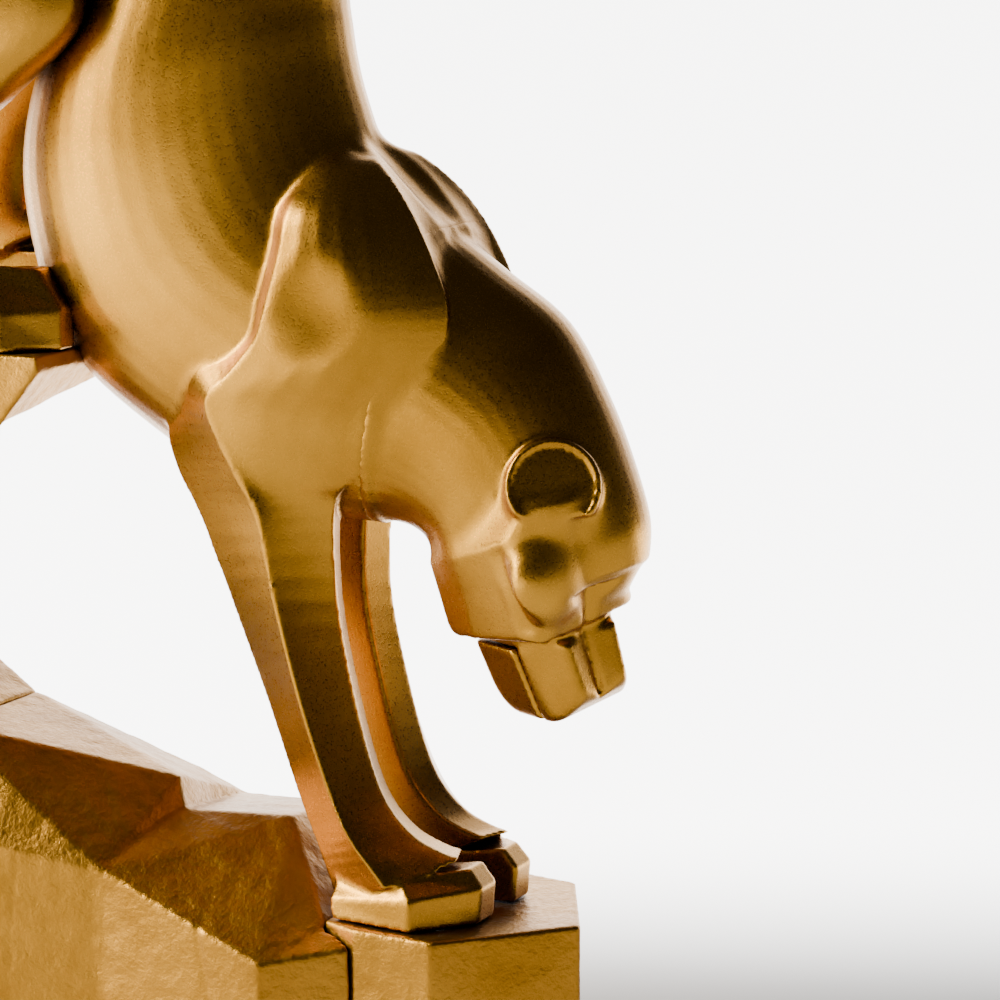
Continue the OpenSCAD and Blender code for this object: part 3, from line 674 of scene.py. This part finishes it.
body_clay = Clay((-36, -22, 64), (64, 22, 164), COARSE_GRIT)
body = meet(flesh(body_clay, trunk(body_clay)), body_clay.plane(*NECK_JOINT), 0.1)
cast_clay("torso_casting", body_clay, body, "torso")

leg_clay = Clay((16, -24, 18), (66, 2, 118), FINE_GRIT)
cast_pair("foreleg", leg_clay, fore_leg_field(leg_clay))

head_clay = HeadClay((40, -22, 40), (86, 22, 117), FINE_GRIT)
skull, jaw = head_fields(head_clay, flesh(head_clay, trunk(head_clay)))
behind = -head_clay.plane(*NECK_JOINT)
cast_clay("head_casting", head_clay, meet(skull + UNDER * (behind > 0), behind - JOINT_LAP, 0.1), "head")
cast_clay("lower_jaw_casting", head_clay, jaw, "lower_jaw")

hind_clay = Clay((-38, -24, 85), (16, -2, 160), COARSE_GRIT)
cast_pair("hind_leg", hind_clay, right_hind_leg(hind_clay))

tail_points, tail_faces = skin(oval_rings(TAIL, 0.0, 8, 32))
cast("tail_casting", tail_points, tail_faces, "tail", satin_gilt)


# --- rock -----------------------------------------------------------------------------------
# A rock is planed blocks run together. Each block is the convex form over its corners.

def on_foot(*outline):
    """Corners at the rock's underside, below an outline."""
    return [(x, y, FOOT) for x, y in outline]


FRONT_OUTLINE = [(43, -12.5), (48, -15), (59, -16.5), (72.5, -2.5), (64, 16), (50, 19), (43, 14)]
FRONT_BLOCK = [(x, y, z) for x, y in FRONT_OUTLINE for z in (FOOT, STEP_Z)]
MIDDLE_SLOPE = on_foot((-10, -19), (14, -16.4), (22, 19), (22, -10), (-10, 19)) + [
    (-10, -12, 39.5), (-10, 10, 39), (17.6, -2, 33), (12, 14, 30), (-10, -19, 27.5), (14, -16.4, 24),
    (-10, 19, 30), (16, 19, 26), (19.5, -4, 29)]
MIDDLE_STEP = on_foot((14, -16.4), (38, -20.6), (42.9, -12.5), (42.9, 14), (16, 19)) + [
    (14, -16.4, 24), (18, -4, 29.3), (33.5, -2, 29.5), (34, 12, 28), (38, -20.6, 15.8),
    (42.9, -12.5, 19.5), (42.9, 12, 19.5), (34, 18, 20), (16, 19, 26)]
MIDDLE_TOE = on_foot((38, -20.6), (42, -12.6), (47.9, -15.1)) + [
    (38, -20.6, 15.8), (42, -12.5, 19.5), (47.9, -15.1, 17.6)]
REAR_FOOT = on_foot((-10, -19), (-10, 19), (-64, -19), (-72.5, 3), (-66, 18)) + [
    (-10, -19, 27.5), (-10, 19, 30), (-10, -12, 39.5), (-10, 10, 39), (-61, -18.5, 33), (-68, 2, 36),
    (-63, 16.5, 34), (-28, -19, 44), (-28, 18.5, 46)]
REAR_WAIST = [
    (-14, -17, 43), (-20, 16, 45), (-17, -16, 28), (-20, 15, 28), (-58, -16, 28), (-65, 2, 31),
    (-60, 14, 30), (-14, -18.6, 62), (-19, 17.4, 63), (-55, -17, 66), (-60, 2, 69), (-56, 15, 67)]
# The ledge is a slab on a waist that is set back on the far side.
REAR_SLAB = [
    (2.5, -18.2, 79), (-10, 17.4, 78), (7.8, -18.5, 85.5), (7.5, 18.5, 85.5), (7.8, -18.5, LEDGE_Z),
    (7.5, 18.5, LEDGE_Z), (-44, -18, LEDGE_Z), (-46, 16.5, LEDGE_Z), (-46.2, -17.4, 78), (-47.5, 15.7, 78)]
REAR_LEDGE = [
    (-16, -18, 57), (-20, 17, 57), (2.5, -18.2, 79), (-20, 17.4, 79), (-45.7, -17.5, 80),
    (-47.1, 15.9, 80), (-50, -16.4, 62), (-52, 2, 64), (-50, 14.5, 62)]

# Rooms inside the castings for the hardware, as the low and high corners of upright boxes.
FRONT_ROOM = [((47, -12, 0), (60, 14, 16))]
MIDDLE_ROOM = [((-6, -14, 0), (16, 11.5, 21)), ((-6, -10, 0), (39, 10, 16))]
REAR_ROOM = [
    ((-46, -15, 0), (-24, 15, 76)), ((-40, -15, 74), (-24, 15, 83.5)), ((-40, -14, 78.4), (-9.5, 14, 83.5)),
    ((-58, -14, 0), (-44, 14, 29)), ((-19, -14, 0), (-14, 14, 25))]
# Dents and scores in the faces: two ends and a radius.
MIDDLE_SCORES = [((28.6, -19.0, 21), (30.6, -19.4, 9), 0.3), ((3, -17.8, 25), (1.5, -17.9, 6), 0.25)]
REAR_SCORES = [((0.5, -19, 84), (6.8, -18.6, 82.5), 0.35)]


def cast_rock(node, low, high, blocks, rooms, scores, seed):
    """One rock casting: planed blocks run together, with rooms cut inside and a skin rough from sand."""
    clay = Clay(low, high, ROCK_GRIT)
    field = clay.from_corners(blocks[0])
    for corners in blocks[1:]:
        field = blend(field, clay.from_corners(corners), 0.5)
    field = field + clay.ripple(6, 0.10, seed) + clay.ripple(1.7, 0.07, seed + 1)
    field = meet(field, clay.from_corners([c for corners in blocks for c in corners]) + 0.03, 0.3)
    for a, b, radius in scores:
        field = cut(field, clay.rod(a, b, radius, radius * 0.6), 0.3)
    for box in rooms:
        field = cut(field, clay.box(*box), 0.2)
    field = np.maximum(field, FOOT - clay.z)
    cast_clay(node + "_casting", clay, field, node, sand_gilt, passes=2)


cast_rock("front_rock", (40, -20, 1), (76, 22, 24), [FRONT_BLOCK], FRONT_ROOM, [], 11)
cast_rock("middle_rock", (-13, -23, 1), (52, 23, 46), [MIDDLE_SLOPE, MIDDLE_STEP, MIDDLE_TOE],
          MIDDLE_ROOM, MIDDLE_SCORES, 23)
cast_rock("rear_rock", (-76, -23, 1), (12, 23, 92), [REAR_FOOT, REAR_WAIST, REAR_LEDGE, REAR_SLAB],
          REAR_ROOM, REAR_SCORES, 37)


# --- stage ----------------------------------------------------------------------------------
AZIMUTH, ELEVATION = math.radians(24), math.radians(10)
FOCUS = Vector((0.0607, 0.0, 0.0708))      # centre of the view: the fore legs and the head
SPAN = 0.120                               # width of the view at the figure
LENS, SENSOR = 150.0, 36.0                 # mm
toward = Vector((math.sin(AZIMUTH) * math.cos(ELEVATION), -math.cos(AZIMUTH) * math.cos(ELEVATION),
                 math.sin(ELEVATION)))
away = Vector((-toward.x, -toward.y, 0)).normalized()
across = Vector((away.y, -away.x, 0))


def aim_camera():
    """Looks at the focus from the object's right side, a little ahead and above."""
    data = bpy.data.cameras.new("view")
    data.lens = LENS
    data.sensor_width = SENSOR
    camera = bpy.data.objects.new("view", data)
    bpy.context.scene.collection.objects.link(camera)
    camera.location = FOCUS + toward * (SPAN * LENS / SENSOR)
    camera.rotation_euler = (-toward).to_track_quat("-Z", "Y").to_euler()
    bpy.context.scene.camera = camera


def softbox(name, place, target, width, height, power):
    """A white rectangular lamp that faces its target."""
    data = bpy.data.lights.new(name, "AREA")
    data.shape = "RECTANGLE"
    data.size, data.size_y = width, height
    data.energy = power
    lamp = bpy.data.objects.new(name, data)
    bpy.context.scene.collection.objects.link(lamp)
    lamp.location = place
    lamp.rotation_euler = (Vector(target) - Vector(place)).to_track_quat("-Z", "Y").to_euler()


DIM, WHITE = 0.05, 7.0                     # strength of the studio's sides and of its back


def studio_world():
    """A studio that is white behind the ornament and dim on the other sides."""
    world = bpy.data.worlds.new("studio")
    world.use_nodes = True
    tree = world.node_tree
    ray = add(tree, "ShaderNodeTexCoord").outputs["Generated"]
    behind = add(tree, "ShaderNodeVectorMath", {"operation": "DOT_PRODUCT", 1: tuple(-toward)}, i0=ray)
    glow = add(tree, "ShaderNodeMapRange",
               {"From Min": 0.55, "From Max": 0.9, "To Min": DIM, "To Max": WHITE},
               Value=behind.outputs["Value"])
    sky = tree.nodes["Background"]
    sky.inputs["Color"].default_value = linear("#fffdfa")
    tree.links.new(glow.outputs["Result"], sky.inputs["Strength"])
    return world


PAPER_FRONT, PAPER_BACK, PAPER_SIDE = -0.8, 3.5, 1.5       # how far the paper reaches, m
PAINTED_GLOW_FRONT, PAINTED_GLOW_LEFT, PAINTED_GLOW_BACK = 0.25, 2.2, 6.6          # painted light: how strongly the paper glows by its own emission in front, to its left and behind


def ramp(tree, place, direction, start, end, low, high):
    """A soft rise from low to high between two distances along a direction."""
    along = add(tree, "ShaderNodeVectorMath", {"operation": "DOT_PRODUCT", 1: tuple(direction)}, i0=place)
    return add(tree, "ShaderNodeMapRange",
               {"interpolation_type": "SMOOTHSTEP", "From Min": start, "From Max": end,
                "To Min": low, "To Max": high}, Value=along.outputs["Value"])


def painted_glow_paper():
    """White studio paper: matte, with painted light: it glows by its own emission, faintly in front and
    brightly behind the ornament and to its left.
    """
    paper = plain("white_studio_paper", "#fbfaf8", 0.0, 0.8)
    tree = paper.node_tree
    place = add(tree, "ShaderNodeTexCoord").outputs["Object"]
    # painted light: the paper is no lamp, yet it glows, faint in front and bright behind and to the left,
    # and shines on the gilding
    back = ramp(tree, place, away, -0.01, 0.10, PAINTED_GLOW_FRONT, PAINTED_GLOW_BACK)
    left = ramp(tree, place, -across, 0.04, 0.16, 0.0, PAINTED_GLOW_LEFT)
    glow = add(tree, "ShaderNodeMath", {"operation": "MAXIMUM"}, i0=back.outputs[0], i1=left.outputs[0])
    shader = tree.nodes["Principled BSDF"]
    shader.inputs["Emission Color"].default_value = linear("#fffefc")
    tree.links.new(glow.outputs[0], shader.inputs["Emission Strength"])
    return paper


def studio_floor():
    """A flat sheet of paper that runs back under the ornament."""
    reach = [(PAPER_FRONT, -PAPER_SIDE), (PAPER_FRONT, PAPER_SIDE), (PAPER_BACK, PAPER_SIDE),
             (PAPER_BACK, -PAPER_SIDE)]
    data = bpy.data.meshes.new("floor")
    data.from_pydata([away * depth + across * side for depth, side in reach], [], [(0, 1, 2, 3)])
    data.materials.append(painted_glow_paper())
    floor = bpy.data.objects.new("floor", data)
    bpy.context.scene.collection.objects.link(floor)


aim_camera()
bpy.context.scene.world = studio_world()
studio_floor()
softbox("key", (-0.80, -0.36, 0.55), (0.03, 0, 0.08), 0.36, 0.50, 26)
softbox("left_low", (-0.80, -0.62, 0.16), (0.03, 0, 0.05), 0.25, 0.30, 4)
